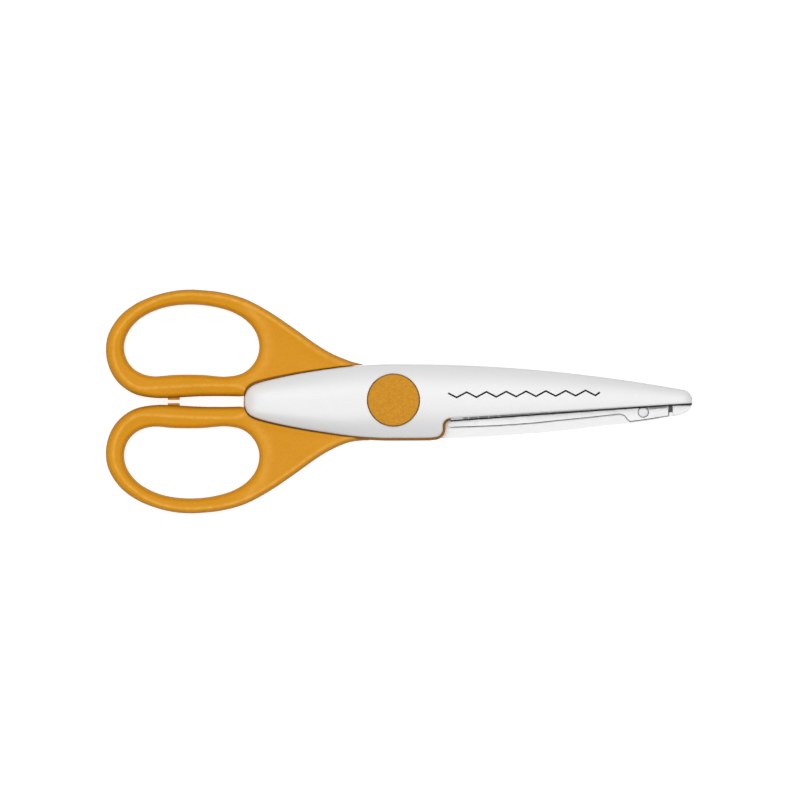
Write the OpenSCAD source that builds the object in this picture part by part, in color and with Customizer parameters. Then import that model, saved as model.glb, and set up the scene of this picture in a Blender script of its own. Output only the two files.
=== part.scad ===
// Decorative edge scissors: two moulded halves that turn on one pivot.
// +X runs to the blade tips, +Y to the handle of the rear half, +Z along the pivot.
// The origin is on the pivot axis, on the surface that the rear cap rests on.

/* [Overall] */
// Half of the thickness over the two caps and the two handles
half_thick = 4.6; // [4.5:0.05:5]
// Distance from the pivot to the tips
tip_reach = 84; // [82:0.5:88]
// Distance from the pivot to the far end of the handles
handle_reach = 80.8; // [80:0.2:84]

/* [Shells] */
// Half of the shell's width at the pivot
shell_half_w = 10.45; // [10.3:0.05:10.8]
// Height of the shell's crown above the plane between the halves
crown = 4.4; // [4.3:0.05:4.45]
// Distance from the pivot to the round end of the shell's tail
tail_reach = 42; // [41:0.5:43]
// Width of the orange rim that shows beside the front shell
rim = 0.55; // [0.3:0.05:0.7]

/* [Handles] */
// Length of each finger opening
opening_len = 38.2; // [36:0.2:38.4]
// Height of each finger opening above its widest line
opening_up = 13.1; // [12:0.1:13.4]
// Depth of each finger opening below its widest line
opening_down = 6.9; // [6.4:0.1:7.1]
// Thickness of the bow round the outside of the opening
bow_w = 4.7; // [4.4:0.1:5.2]
// Distance between the two inner arms
arm_gap = 2.7; // [2.4:0.1:3]
// Distance between the faces of the two stop pads
pad_gap = 0.95; // [0.9:0.05:1.3]

/* [Blades] */
// Thickness of the blade steel
steel = 0.8; // [0.6:0.05:0.8]
// Length of one tooth of the cutting edge
pitch = 5.57; // [5:0.01:6]
// Half of the height of a tooth
tooth = 0.85; // [0.4:0.05:0.85]
// Width of the toothed lip along the cutting edge
lip_w = 3; // [2.4:0.1:3.4]
// Diameter of the rivets that hold a blade in its shell
rivet_d = 3; // [2.4:0.1:3.2]

/* [Pivot] */
// Diameter of the round caps
cap_d = 14.8; // [14:0.1:15]
// Outer diameter of the bush that the front half turns on
bush_d = 6; // [5.6:0.1:6.4]
// Diameter of the screw's shank
screw_d = 4; // [3:0.1:4]

/* [Hidden] */
$fn = 96;

orange = [0.83, 0.56, 0.18];
white = [0.95, 0.95, 0.95];
metal = [0.75, 0.76, 0.78];

// Heights above the plane between the halves
plate_z = [0.1, 2.2];          // the handle's plate under its shell
inner_z = 1.0;                 // the shell's flat inner face beside the blade
block_z = 0.3;                 // the nose block's face
floor_z = 2.6;                 // the floor of the shell under the cap
ledge_z = 3.0;                 // the ledge that the cap sits on
cap_roof_z = 3.75;             // the roof of the hollow in the cap
over = 1;                      // how far cutting shapes run past a face

// Running clearances
turn_fit = 0.05;               // radial, between the bush and the front half
lip_gap = 0.03;                // between the two toothed lips, each side of the middle

// The outline of a shell
wide_x = 3;                    // where the shell is widest
edge_r = 425;                  // radius of the blade side's long edge
tail_len = tail_reach + wide_x;
notch_x = 15.9;                // where the blade comes out of the plate
room = 100;                    // reach of the block that parts the shell at the notch
root_r = 7;                    // the blade's eye round the pivot
root_low = -2.4;               // lower side of its root
root_high = 7.3;               // upper side of its root
pad_w = 3;                     // width of the stop pads
pad_z = 2;                     // half of their height
pad_flare = 0.2;               // how much wider they are at the arm, on each side
tail_gap = 0.2;                // between a web and the other half's shell
tail_more = 0.65;              // how much wider that gap is at the tail's end
tall = 20;                     // height of cutting shapes that pass through a whole half
cap_well_d = 10;               // the hollow under the cap
notch_drop = 4.7;              // the shell's lower edge there
nose_r = 3;                    // rounding of the tip
side_z = 2.7;                  // height of the shell's side above the middle plane

// The cutting edge
edge_start = 5.65;             // its depth below the axis at the notch
edge_rise = 0.071;             // how fast it comes up to the axis
wave_end = tip_reach - 5.5;    // the last tooth ends here
teeth = 10.5;
tip_lip = 0.4;                 // how much of its width the lip keeps at the tip
wave_start = wave_end - teeth * pitch;

// The finger opening's widest line
bow_x = tail_reach - handle_reach - 18.1;
bow_y = 14;
web_fall = 2.2;                // how much thinner half of the web is at the pivot

// ---------- curves ----------

// Points on an arc
function arc(c, r, a0, a1, n) =
    [for (i = [0:n]) c + r * [cos(a0 + (a1 - a0) * i / n), sin(a0 + (a1 - a0) * i / n)]];

// A point on a cubic curve with four control points
function cubic(p, t) =
    pow(1 - t, 3) * p[0] + 3 * pow(1 - t, 2) * t * p[1]
    + 3 * (1 - t) * t * t * p[2] + pow(t, 3) * p[3];

// A point on an oval whose corners are squarer as k grows
function oval(a, b, k, phi) =
    [
        a * sign(cos(phi)) * pow(abs(cos(phi)), 2 / k),
        b * sign(sin(phi)) * pow(abs(sin(phi)), 2 / k),
    ];

// A solid through a row of rings with the same number of points, closed on itself or capped
module loft(rings, closed = false) {
    count = len(rings) - (closed ? 1 : 0);
    n = len(rings[0]);
    last = closed ? count - 1 : count - 2;
    polyhedron(
        points = [for (i = [0:count - 1], p = rings[i]) p],
        faces = concat(
            [
                for (i = [0:last], j = [0:n - 1], half = [0:1])
                    let (
                        p = i * n + j,
                        q = i * n + (j + 1) % n,
                        r = (i + 1) % count * n + (j + 1) % n,
                        s = (i + 1) % count * n + j
                    )
                    half == 0 ? [p, r, q] : [p, s, r],
            ],
            closed ? [] : [
                [for (j = [0:n - 1]) j],
                [for (j = [n - 1:-1:0]) (count - 1) * n + j],
            ]
        )
    );
}

// Half of the shell's width at x
function edge_y(x) =
    x >= wide_x
    ? shell_half_w - pow(x - wide_x, 2) / (2 * edge_r)
    : shell_half_w * pow(max(0, 1 - pow((wide_x - x) / tail_len, 1.6)), 0.43);

// The tail's x values, closer together at its round end
function tail_xs(n) = [for (i = [n:-1:0]) wide_x - tail_len * sin(90 * i / n)];

// ---------- shell ----------

// The long outer edge with the round nose, from x0 to the axis
function blade_back(x0, n) =
    let (x1 = tip_reach - nose_r, y1 = edge_y(x1))
    concat(
        [for (i = [0:n]) let (x = x0 + (x1 - x0) * i / n) [x, edge_y(x)]],
        [for (a = [75:-15:0]) [x1 + nose_r * cos(a), y1 * sin(a)]]
    );

// The step from the wide plate to the blade, grown outwards by g
function notch(g) =
    concat(
        arc([notch_x, -notch_drop - 2.2], 2.2 - g, 90, 180, 6),
        arc([notch_x - 4.6, -notch_drop - 2.95], 2.4 + g, 0, -90, 6)
    );

// The shell in plan. under is how far its handle side stands inside the plate's edge.
function shell_plan(under) =
    concat(
        [for (x = tail_xs(14)) [x, edge_y(x)]],
        blade_back(wide_x + 6, 12),
        [[tip_reach, -0.45]],
        notch(0),
        [for (x = [9, 5, 0]) [x, -edge_y(x) + under]],
        [for (i = [1:13]) let (x = wide_x - tail_len * sin(90 * i / 14)) [x, -edge_y(x) + under]]
    );

// Half of the dome's width at x, a little more than the shell's
function dome_w(x) = edge_y(max(x, wide_x - tail_len)) + 0.6;

// Height of the dome at x, at a fraction v of its half width
function dome_z(x, v) =
    side_z + (crown - side_z) * min(1, dome_w(x) / dome_w(wide_x)) * (1 - pow(abs(v), 2.4));

// A dome over the shell, highest at the pivot and lower towards both ends
module dome() {
    run = tip_reach + over - wide_x;
    xs = concat([-tail_reach - 0.4], tail_xs(12), [for (i = [1:12]) wide_x + i * run / 12]);
    vs = [-1, -0.93, -0.82, -0.65, -0.45, -0.2, 0.2, 0.45, 0.65, 0.82, 0.93, 1];
    loft([
        for (x = xs)
            concat([[x, -dome_w(x), 0]], [for (v = vs) [x, v * dome_w(x), dome_z(x, v)]], [[x, dome_w(x), 0]])
    ]);
}

module blade_pocket() {
    translate([0, 0, inner_z - over])
        linear_extrude(steel + over)
            polygon(blade_plan(notch_x));
}

module half_shell(under, bore) {
    difference() {
        intersection() {
            dome();
            union() {
                translate([0, 0, plate_z[1]])
                    linear_extrude(crown)
                        polygon(shell_plan(under));
                intersection() {
                    translate([0, 0, inner_z])
                        linear_extrude(crown)
                            polygon(shell_plan(under));
                    translate([notch_x, -room, 0])
                        cube([2 * room, 2 * room, crown]);
                }
            }
        }
        blade_pocket();
        rivet_set();
        translate([0, 0, ledge_z])
            cylinder(h = crown, d = cap_d + 0.2);
        translate([0, 0, floor_z])
            cylinder(h = crown, d = cap_well_d);
        cylinder(h = crown, d = bore);
    }
    intersection() {
        translate([0, 0, block_z])
            linear_extrude(inner_z - block_z + over / 2)
                polygon(nose_plan());
        dome();
    }
}

// The nose block that closes the blade's pocket at the tip
function nose_plan() =
    let (x0 = tip_reach - 5.3, x1 = tip_reach - nose_r, y1 = edge_y(x1))
    concat(
        [[x0, 1.2], [x0, edge_y(x0)], [x1, y1]],
        [for (a = [75:-15:30]) [x1 + nose_r * cos(a), y1 * sin(a)]],
        [[tip_reach - 0.35, 1.2]]
    );

// ---------- blade ----------

// Depth of the cutting edge at x
function cut_y(x) = -edge_start + edge_rise * (x - notch_x);

// The blade's outer border, with the wide tab near the tip
function blade_border() =
    concat(
        [
            [notch_x, root_high], [28, 6.8], [38, 6.15], [46, 5.4], [54, 4.55], [61.4, 3.7],
            [tip_reach - 20.4, 3.5], [tip_reach - 19, 4.0], [tip_reach - 18, 5.0], [tip_reach - 17, 5.4],
            [tip_reach - 12.5, 4.8], [tip_reach - 6.8, 3.9],
        ],
        [[tip_reach - 6.8, 1.1], [tip_reach - 0.1, 1.1]]
    );

// The steel in plan, from x0 on
function blade_plan(x0) =
    concat([[x0, cut_y(x0) + lip_w], [x0, root_high]], blade_border(), [[tip_reach, cut_y(tip_reach)]],
        [[x0, cut_y(x0)]]);

// Height of the toothed surface at a distance from the pivot
function wave_points() =
    [for (i = [0:2 * teeth]) [wave_start + (i + 0.5) * pitch / 2, i % 2 == 0 ? tooth : -tooth]];

// A solid of revolution whose lower side is the toothed surface, raised by up
module wave_solid(up, flip) {
    top = 6;
    rotate_extrude($fn = 180)
        polygon(concat(
            [[5, top], [5, up], [wave_start, up]],
            [for (p = wave_points()) if (p[0] < wave_end) [p[0], p[1] * flip + up]],
            [[wave_end, up], [tip_reach + 10, up], [tip_reach + 10, top]]
        ));
}

// A strip beside the cutting edge, from a to b away from it
module edge_strip(a, b) {
    x0 = notch_x + 0.1;
    translate([0, 0, -2])
        linear_extrude(inner_z + steel + 2)
            polygon([
                [x0, cut_y(x0) + a], [tip_reach, cut_y(tip_reach) + a],
                [tip_reach, cut_y(tip_reach) + b * tip_lip],
                [tip_reach - 12, cut_y(tip_reach - 12) + b], [x0, cut_y(x0) + b],
            ]);
}

module half_blade(flip) {
    difference() {
        union() {
            translate([0, 0, inner_z])
                linear_extrude(steel)
                    polygon(concat(
                        [[notch_x, cut_y(notch_x) + lip_w], [notch_x, root_low]],
                        arc([0, 0], root_r, -40, -320, 24),
                        blade_border(),
                        [
                            [tip_reach - 0.1, cut_y(tip_reach) + lip_w * tip_lip],
                            [tip_reach - 12, cut_y(tip_reach - 12) + lip_w],
                        ]
                    ));
            difference() {
                intersection() {
                    edge_strip(0, lip_w + steel);
                    wave_solid(lip_gap, flip);
                }
                intersection() {
                    edge_strip(-1, lip_w);
                    wave_solid(lip_gap + steel, flip);
                }
            }
        }
        cylinder(h = tall, d = bush_d + 0.2, center = true);
        for (p = rivet_places())
            translate(p)
                cylinder(h = tall, d = rivet_d, center = true);
    }
}

// ---------- rivets ----------

function rivet_places() = [[24, 2.4, 0], [tip_reach - 13.8, 3.0, 0]];

module rivet_set() {
    head_z = inner_z + steel + 0.3;
    for (p = rivet_places())
        translate(p) {
            translate([0, 0, inner_z])
                cylinder(h = head_z - inner_z, d = rivet_d);
            translate([0, 0, head_z])
                cylinder(h = 0.5, d = rivet_d + 1);
        }
}

// ---------- handle ----------

// A point on the edge of the finger opening
function opening(phi) =
    let (up = sin(phi) >= 0, p = oval(opening_len / 2, up ? opening_up : opening_down, up ? 2.3 : 3, phi))
    [bow_x + p[0], bow_y + p[1] + (up ? 0 : 0.4 * pow(sin(phi), 12))];

// The flank of the web, from the top of the bow to the side of the shell
flank = [[bow_x, bow_y + opening_up + bow_w - 0.1], [bow_x + 21, bow_y + opening_up + bow_w - 0.1],
    [-24, 12.1], [-6, shell_half_w]];
// The underside of the arm, run on inside the plate
inside = [[bow_x, arm_gap / 2], [-40, arm_gap / 2], [-30, arm_gap / 2], [-8, shell_half_w - 0.5]];
flank_end = 0.97;

// A point on the outside of the handle, opposite opening(phi)
function outside(phi) =
    let (up = phi < 180)
    phi <= 90
    ? cubic(flank, flank_end * pow((90 - phi) / 90, 0.8))
    : phi >= 270
    ? cubic(inside, pow((phi - 270) / 90, 0.8))
    : [bow_x, bow_y] + oval(opening_len / 2 + bow_w, up ? opening_up + bow_w - 0.1 : bow_y - arm_gap / 2,
        up ? 2.2 : 3, phi);

// Half of the handle's thickness at x: full at the bow, and thinner along the web to the pivot
function handle_h(x) =
    half_thick - web_fall * (0.5 - 0.5 * cos(180 * min(1, max(0, (x + 40) / 30))));

// The section of the bow at one place: a closed loop from the inner side over the top and back below
section_n = 12;
function section(phi) =
    let (a = opening(phi), b = outside(phi), w = norm(b - a), k = max(2.2, w / 2.6))
    [
        for (j = [0:section_n - 1])
            let (t = 360 * (j + 0.5) / section_n, s = 0.5 - 0.5 * sign(cos(t)) * pow(abs(cos(t)), 2 / k))
            let (c = a + (b - a) * s)
            [c[0], c[1], handle_h(c[0]) * sign(sin(t)) * pow(abs(sin(t)), 2 / k)],
    ];

stations = 52;
module bow() {
    loft([for (i = [0:stations]) section(360 * (i % stations) / stations)], true);
}

// The tail's outline, grown by g at the pivot and by more towards its end
function tail_plan(g, more) =
    let (
        side = [
            for (x = tail_xs(18))
                let (f = (wide_x - x) / tail_len)
                [x - (g + more) * pow(f, 8), edge_y(x) + g + more * f],
        ]
    )
    concat(side, [for (i = [len(side) - 1:-1:0]) [side[i][0], -side[i][1]]]);

// The plate under the shell, in plan, with its rim on the handle's side
function plate_plan(rim_w) =
    concat(
        [for (x = tail_xs(14)) [x + 0.3, max(0, edge_y(x) - 0.3)]],
        [[notch_x, edge_y(notch_x) - 0.3]],
        notch(rim_w),
        [for (x = [9, 5, 0]) [x, -edge_y(x) - rim_w + 0.1]],
        [
            for (i = [1:13])
                let (x = wide_x - tail_len * sin(90 * i / 14))
                [x, -edge_y(x) - rim_w * (1 - i / 13) + 0.1],
        ]
    );

module half_handle(rim_w, under, bore) {
    difference() {
        union() {
            difference() {
                mirror([0, 1, 0])
                    bow();
                // Room for the other half's tail
                translate([0, 0, plate_z[0] - tall])
                    linear_extrude(tall)
                        polygon(tail_plan(tail_gap, tail_more));
                // The seat of its own shell
                translate([0, 0, plate_z[1]])
                    linear_extrude(tall)
                        polygon(shell_plan(under));
            }
            translate([0, 0, plate_z[0]])
                linear_extrude(plate_z[1] - plate_z[0])
                    polygon(plate_plan(rim_w));
            stop_pad();
        }
        cylinder(h = tall, d = bore, center = true);
        // The slot that holds the blade's root
        translate([0, 0, inner_z])
            linear_extrude(steel)
                polygon(concat(
                    [[notch_x + over, root_low]],
                    arc([0, 0], root_r, -40, -320, 24),
                    [[notch_x, root_high], [notch_x + over, root_high]]
                ));
    }
}

// The pad that stops the handles, on the inner arm
module stop_pad() {
    face = pad_gap / 2;
    root = arm_gap / 2 + 1;
    half = pad_w / 2;
    translate([bow_x - 5, 0, -pad_z])
        linear_extrude(2 * pad_z)
            polygon([[-half, -face], [half, -face], [half + pad_flare, -root], [-half - pad_flare, -root]]);
}

// ---------- cap and pivot ----------

module half_cap() {
    chamfer = 0.3;
    rotate_extrude()
        polygon([
            [0, cap_roof_z], [5, cap_roof_z], [5, ledge_z], [cap_d / 2, ledge_z],
            [cap_d / 2, half_thick - chamfer], [cap_d / 2 - chamfer, half_thick], [0, half_thick],
        ]);
}

// ---------- placing ----------

module front() {
    translate([0, 0, half_thick])
        children();
}

module rear() {
    translate([0, 0, half_thick])
        rotate([180, 0, 0])
            children();
}

module front_shell() {
    color(white) front() half_shell(0.4, bush_d + 2 * turn_fit);
}

module front_handle() {
    color(orange) front() half_handle(rim, 0.4, bush_d + 2 * turn_fit);
}

module front_blade() {
    color(metal) front() half_blade(1);
}

module front_blade_rivets() {
    color(metal) front() rivet_set();
}

module front_cap() {
    color(orange) front() half_cap();
}

module rear_shell() {
    color(white) rear() half_shell(0.65, bush_d);
}

module rear_handle() {
    color(orange) rear() half_handle(0, 0.65, bush_d);
}

module rear_blade() {
    color(metal) rear() half_blade(-1);
}

module rear_blade_rivets() {
    color(metal) rear() rivet_set();
}

module rear_cap() {
    color(orange) rear() half_cap();
}

module pivot_bush() {
    color(metal) front() difference() {
        translate([0, 0, -floor_z])
            cylinder(h = 2 * floor_z + 0.1, d = bush_d);
        cylinder(h = tall, d = screw_d, center = true);
    }
}

module pivot_screw() {
    head_h = 1.0;
    color(metal) front() difference() {
        union() {
            translate([0, 0, -floor_z - head_h])
                cylinder(h = head_h, d = 8);
            translate([0, 0, -floor_z])
                cylinder(h = floor_z + 3.6, d = screw_d);
        }
        // The driver's slot
        translate([-5, -0.5, -floor_z - head_h - over])
            cube([10, 1, over + 0.5]);
    }
}

module pivot_nut() {
    color(metal) front() difference() {
        translate([0, 0, floor_z + 0.4])
            cylinder(h = 0.65, r = 4, $fn = 6);
        cylinder(h = tall, d = screw_d, center = true);
    }
}

// A dished ring between the nut and the front half
module spring_washer() {
    color(metal) front() rotate_extrude()
        polygon([
            [bush_d / 2 + 0.1, floor_z + 0.2], [bush_d / 2 + 0.1, floor_z + 0.4],
            [4.5, floor_z + 0.25], [4.5, floor_z + 0.05],
        ]);
}

// A thin slippery ring between the two plates
module thrust_washer() {
    color(white) front() translate([0, 0, -plate_z[0]])
        difference() {
            cylinder(h = 0.15, d = 13);
            cylinder(h = 2, d = bush_d + 0.1, center = true);
        }
}

front_shell();
front_handle();
front_blade();
front_blade_rivets();
front_cap();
rear_shell();
rear_handle();
rear_blade();
rear_blade_rivets();
rear_cap();
pivot_bush();
pivot_screw();
pivot_nut();
spring_washer();
thrust_washer();
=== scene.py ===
"""Decorative edge scissors: the looks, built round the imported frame.

Shapes are worked out in millimetres in "half" coordinates: x to the tips, y across, and z from the
plane between the two halves. Shells and blades are made as the front half has them, and handles as
the rear half has them. The other half is the same shape turned half round the x axis.
"""

import math

import bmesh
import bpy
import numpy as np
from mathutils import Matrix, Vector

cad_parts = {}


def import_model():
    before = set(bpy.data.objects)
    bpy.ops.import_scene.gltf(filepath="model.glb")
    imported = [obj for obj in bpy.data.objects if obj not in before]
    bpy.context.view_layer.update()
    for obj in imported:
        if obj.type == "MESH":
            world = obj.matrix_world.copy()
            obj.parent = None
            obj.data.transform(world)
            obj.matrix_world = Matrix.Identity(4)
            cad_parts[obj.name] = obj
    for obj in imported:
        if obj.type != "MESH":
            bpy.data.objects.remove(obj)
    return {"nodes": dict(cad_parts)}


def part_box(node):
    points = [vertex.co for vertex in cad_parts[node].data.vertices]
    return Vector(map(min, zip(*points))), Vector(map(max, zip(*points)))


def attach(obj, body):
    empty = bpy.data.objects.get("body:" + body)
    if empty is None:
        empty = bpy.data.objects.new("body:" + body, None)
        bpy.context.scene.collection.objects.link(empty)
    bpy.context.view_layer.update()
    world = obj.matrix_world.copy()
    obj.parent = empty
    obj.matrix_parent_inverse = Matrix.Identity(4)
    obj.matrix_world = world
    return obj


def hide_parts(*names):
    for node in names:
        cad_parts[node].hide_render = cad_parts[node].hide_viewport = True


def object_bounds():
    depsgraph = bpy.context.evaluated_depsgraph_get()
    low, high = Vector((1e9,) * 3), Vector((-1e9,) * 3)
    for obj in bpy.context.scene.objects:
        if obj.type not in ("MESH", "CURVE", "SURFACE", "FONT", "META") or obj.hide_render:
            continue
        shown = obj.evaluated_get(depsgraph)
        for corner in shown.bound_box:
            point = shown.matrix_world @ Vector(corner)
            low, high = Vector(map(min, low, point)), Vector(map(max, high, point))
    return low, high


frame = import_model()
cad_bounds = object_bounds()

MM = 0.001
NEAR_AXIS = 0.001  # inner radius of a turned profile, which closes on the axis


def mm_box(node):
    """The lowest and highest corner of a CAD node, in millimetres."""
    lo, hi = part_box(node)
    return np.array(lo) / MM, np.array(hi) / MM


# ---------- sizes, from the frame ----------

SHELL_LO, SHELL_HI = mm_box("front_shell")
ALL_LO, ALL_HI = (np.array(c) / MM for c in cad_bounds)
MIDDLE_Z = (ALL_LO[2] + ALL_HI[2]) / 2
HALF_THICK = (ALL_HI[2] - ALL_LO[2]) / 2
TIP = SHELL_HI[0]
TAIL = -SHELL_LO[0]
SHELL_W = SHELL_HI[1]
CAP_R = mm_box("front_cap")[1][0]
BUSH_R = mm_box("pivot_bush")[1][0]

# ---------- sizes, in millimetres ----------

CROWN = 4.4  # top of the shell's dome
SIDE_Z = 2.45  # top of its side
PLATE = (0.1, 2.2)  # the handle's plate under its shell
INNER_Z = 1.0  # flat inner face of the shell beside the blade
STEEL = 0.8
NOTCH_X = 15.9  # where the blade comes out of the plate
NOTCH_DROP = 4.7
NOTCH_OUTER_R = 2.4  # the notch's round at the wide end of the plate
NOTCH_INNER_R = 2.2  # and the one at the blade
NOTCH_WALL = 0.75  # straight stretch between them
NOTCH_RUN = NOTCH_OUTER_R + NOTCH_INNER_R
RIM = 0.75  # orange rim beside the front shell
FRONT_UNDER = 0.2  # how far the shell's edge stands inside the plate's, on the handle side
REAR_UNDER = 0.65
WIDE_X = 3.0
EDGE_R = 425.0  # radius of the shell's long edge
LIP_W = 3.0
PLATE_END = 10.2  # end of the handle's plate on the blade's outer side
PLATE_SPLIT = -2.0
LIP_GAP = 0.03
TOOTH = 0.82
PITCH = 5.57
TAB_END = TIP - 6.8
WAVE_END = TIP - 5.5
WAVE_START = WAVE_END - 10.5 * PITCH
RIVET_R = 1.5
RIVET_FIT = 0.09
RIVETS = ((24.0, 2.4), (TIP - 13.8, 3.0))
LEDGE_Z = 3.0  # the ledge that the cap sits on
CAP_FIT = 0.11
CAP_SPIGOT_R = 5.0  # the part of the cap below the ledge
WELL_FIT = 0.65  # room round the bush in the shell
POCKET_FIT = 0.26  # room round the blade in the shell
SLOT_END = TAB_END + 1.25  # end of the slot in the shell behind the blade's tab

BOW_X = -56.9
BOW_Y = 14.0  # middle of the finger opening
ARM_Y = 1.35  # underside of the inner arm
EDGE_ROUND = 1.2  # width of the rounding along the bow's edges
EDGE_DROP = 2.1  # and its height
CREST = 1.35  # distance of the ridge from the outer edge
PAD_FACE = 0.45
CAP_AT = (-0.15, 0.4)  # the cap sits a little off the pivot
STEP = (TAB_END + 0.1, TAB_END + 1.2)  # step behind the blade's tab, in near-black steel: a painted shadow of the gap before the nose block
CHAMFER = 0.16  # along the blade's outer border
TAB_SIDE = 1.05  # inner side of the blade's tab
EYE_R = 7.0  # the blade's eye round the pivot
BORDER_START = 7.3  # the blade's outer border where it leaves the plate


# ---------- curves ----------


def through(points, n):
    """A smooth open curve through the points, with n steps between each two."""
    p = np.array(points, float)
    p = np.vstack([2 * p[0] - p[1], p, 2 * p[-1] - p[-2]])
    t = (np.arange(n) / n)[:, None]
    out = []
    for a, b, c, d in zip(p, p[1:], p[2:], p[3:]):
        square = 2 * a - 5 * b + 4 * c - d
        cube = 3 * b - a - 3 * c + d
        out.append(0.5 * (2 * b + (c - a) * t + square * t**2 + cube * t**3))
    return np.vstack([*out, p[-2][None]])


def around(points, n):
    """A smooth closed curve through the points."""
    p = [*points]
    return through([p[-2], p[-1], *p, p[0], p[1]], n)[2 * n : -2 * n - 1 + n]


def arc(cx, cy, r, a0, a1, n):
    """n + 1 points on a round, from the angle a0 to a1 in degrees."""
    a = np.radians(np.linspace(a0, a1, n + 1))
    return np.stack([cx + r * np.cos(a), cy + r * np.sin(a)], 1)


def resample(line, n):
    """n + 1 points along a line, at even distances."""
    line = np.array(line, float)
    run = np.concatenate([[0], np.cumsum(np.linalg.norm(np.diff(line, axis=0), axis=1))])
    at = np.linspace(0, 1, n + 1) * run[-1]
    return np.stack([np.interp(at, run, line[:, k]) for k in range(2)], 1)


def normals(line):
    """Unit normals to the left of a line."""
    t = np.gradient(np.array(line, float), axis=0)
    t /= np.linalg.norm(t, axis=1)[:, None]
    return np.stack([-t[:, 1], t[:, 0]], 1)


def distance(points, line, closed=False):
    """How far each point is from a line of straight pieces."""
    p = np.array(points, float)[:, None, :2]
    line = np.array(line, float)
    a = line if closed else line[:-1]
    b = np.roll(line, -1, axis=0) if closed else line[1:]
    d = b - a
    t = ((p - a) * d).sum(2) / np.maximum((d * d).sum(1), 1e-12)
    near = a + np.clip(t, 0, 1)[:, :, None] * d
    return np.sqrt(((p - near) ** 2).sum(2)).min(1)


def quarter(d, r):
    """The height of a quarter round of radius r, as a share, at a distance d from its edge."""
    t = 1 - np.clip(d / r, 0, 1)
    return np.sqrt(np.maximum(0, 1 - t * t))


def smooth_step(x, x0, x1):
    """0 below x0 and 1 above x1, with a smooth change between them."""
    t = np.clip((x - x0) / (x1 - x0), 0, 1)
    return t * t * (3 - 2 * t)


# ---------- meshes ----------


def mesh_object(name, verts, faces, sharp=35):
    """A closed solid from points and faces, smooth below the sharp angle in degrees."""
    mesh = bpy.data.meshes.new(name)
    mesh.from_pydata([tuple(v) for v in verts], [], [tuple(f) for f in faces])
    bm = bmesh.new()
    bm.from_mesh(mesh)
    bmesh.ops.remove_doubles(bm, verts=bm.verts, dist=1e-4)
    bmesh.ops.recalc_face_normals(bm, faces=bm.faces)
    bm.to_mesh(mesh)
    bm.free()
    obj = bpy.data.objects.new(name, mesh)
    bpy.context.scene.collection.objects.link(obj)
    shade(obj, sharp)
    return obj


def shade(obj, sharp=35):
    mesh = obj.data
    mesh.polygons.foreach_set("use_smooth", [True] * len(mesh.polygons))
    mesh.set_sharp_from_angle(angle=math.radians(sharp))
    mesh.update()


def tube(rings, closed=False):
    """Vertices and faces through a row of rings with the same number of points."""
    count, n = len(rings), len(rings[0])
    verts = [v for ring in rings for v in ring]
    faces = []
    for i in range(count if closed else count - 1):
        k = (i + 1) % count
        for j in range(n):
            m = (j + 1) % n
            faces.append((i * n + j, i * n + m, k * n + m, k * n + j))
    if not closed:
        faces.append(tuple(range(n)))
        faces.append(tuple(range((count - 1) * n, count * n)))
    return verts, faces


def prism(name, outline, z0, z1, bevel=0.0):
    """An upright solid on an outline, with its rims rounded by bevel."""
    outline = np.array(outline, float)
    n = len(outline)
    verts = [(x, y, z0) for x, y in outline] + [(x, y, z1) for x, y in outline]
    faces = [(i, (i + 1) % n, n + (i + 1) % n, n + i) for i in range(n)]
    faces += [tuple(range(n)), tuple(range(n, 2 * n))]
    obj = mesh_object(name, verts, faces)
    if bevel:
        bm = bmesh.new()
        bm.from_mesh(obj.data)
        rims = [e for e in bm.edges if abs(e.verts[0].co.z - e.verts[1].co.z) < 1e-6]
        bmesh.ops.bevel(bm, geom=rims, offset=bevel, segments=2, affect="EDGES", clamp_overlap=True)
        bm.to_mesh(obj.data)
        bm.free()
        shade(obj)
    return obj


def turned(name, profile, steps=96):
    """A solid of revolution about z. The profile runs from the axis and back to it."""
    rings = []
    for i in range(steps):
        a = 2 * math.pi * i / steps
        rings.append([(r * math.cos(a), r * math.sin(a), z) for r, z in profile])
    verts, faces = tube(rings, closed=True)
    return mesh_object(name, verts, faces)


def drill(name, radius, z0, z1, steps=96):
    """An upright cylinder on the pivot axis, to cut a hole with."""
    return turned(name, [(NEAR_AXIS, z0), (radius, z0), (radius, z1), (NEAR_AXIS, z1)], steps)


def move_matrix(x, y):
    return Matrix.Translation((x, y, 0))


def combine(obj, other, operation):
    """Joins, cuts or trims obj with other, which is used up."""
    mod = obj.modifiers.new("combine", "BOOLEAN")
    mod.operation = operation
    mod.solver = "EXACT"
    mod.object = other
    bpy.context.view_layer.update()
    made = bpy.data.meshes.new_from_object(obj.evaluated_get(bpy.context.evaluated_depsgraph_get()))
    obj.modifiers.clear()
    old = obj.data
    obj.data = made
    bpy.data.meshes.remove(old)
    bpy.data.objects.remove(other)
    bm = bmesh.new()
    bm.from_mesh(made)
    bmesh.ops.remove_doubles(bm, verts=bm.verts, dist=2e-4)
    bmesh.ops.dissolve_degenerate(bm, edges=bm.edges, dist=2e-4)
    bm.to_mesh(made)
    bm.free()
    shade(obj)
    return obj


def merge(obj, *others):
    """Puts the meshes of the others into obj."""
    bm = bmesh.new()
    for source in (obj, *others):
        bm.from_mesh(source.data)
    bm.to_mesh(obj.data)
    bm.free()
    for other in others:
        bpy.data.objects.remove(other)
    shade(obj)


def place(obj, name, turn):
    """Names a piece made in half coordinates and moves it to its place in the frame.

    Where turn is true, the piece is turned half round the x axis first.
    """
    mesh = obj.data
    co = np.zeros(len(mesh.vertices) * 3)
    mesh.vertices.foreach_get("co", co)
    co = co.reshape(-1, 3)
    if turn:
        co[:, 1:] *= -1
    co[:, 2] += MIDDLE_Z
    mesh.vertices.foreach_set("co", (co * MM).ravel())
    mesh.update()
    obj.name = name
    mesh.name = name
    return obj


# ---------- the shell's outline ----------

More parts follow.
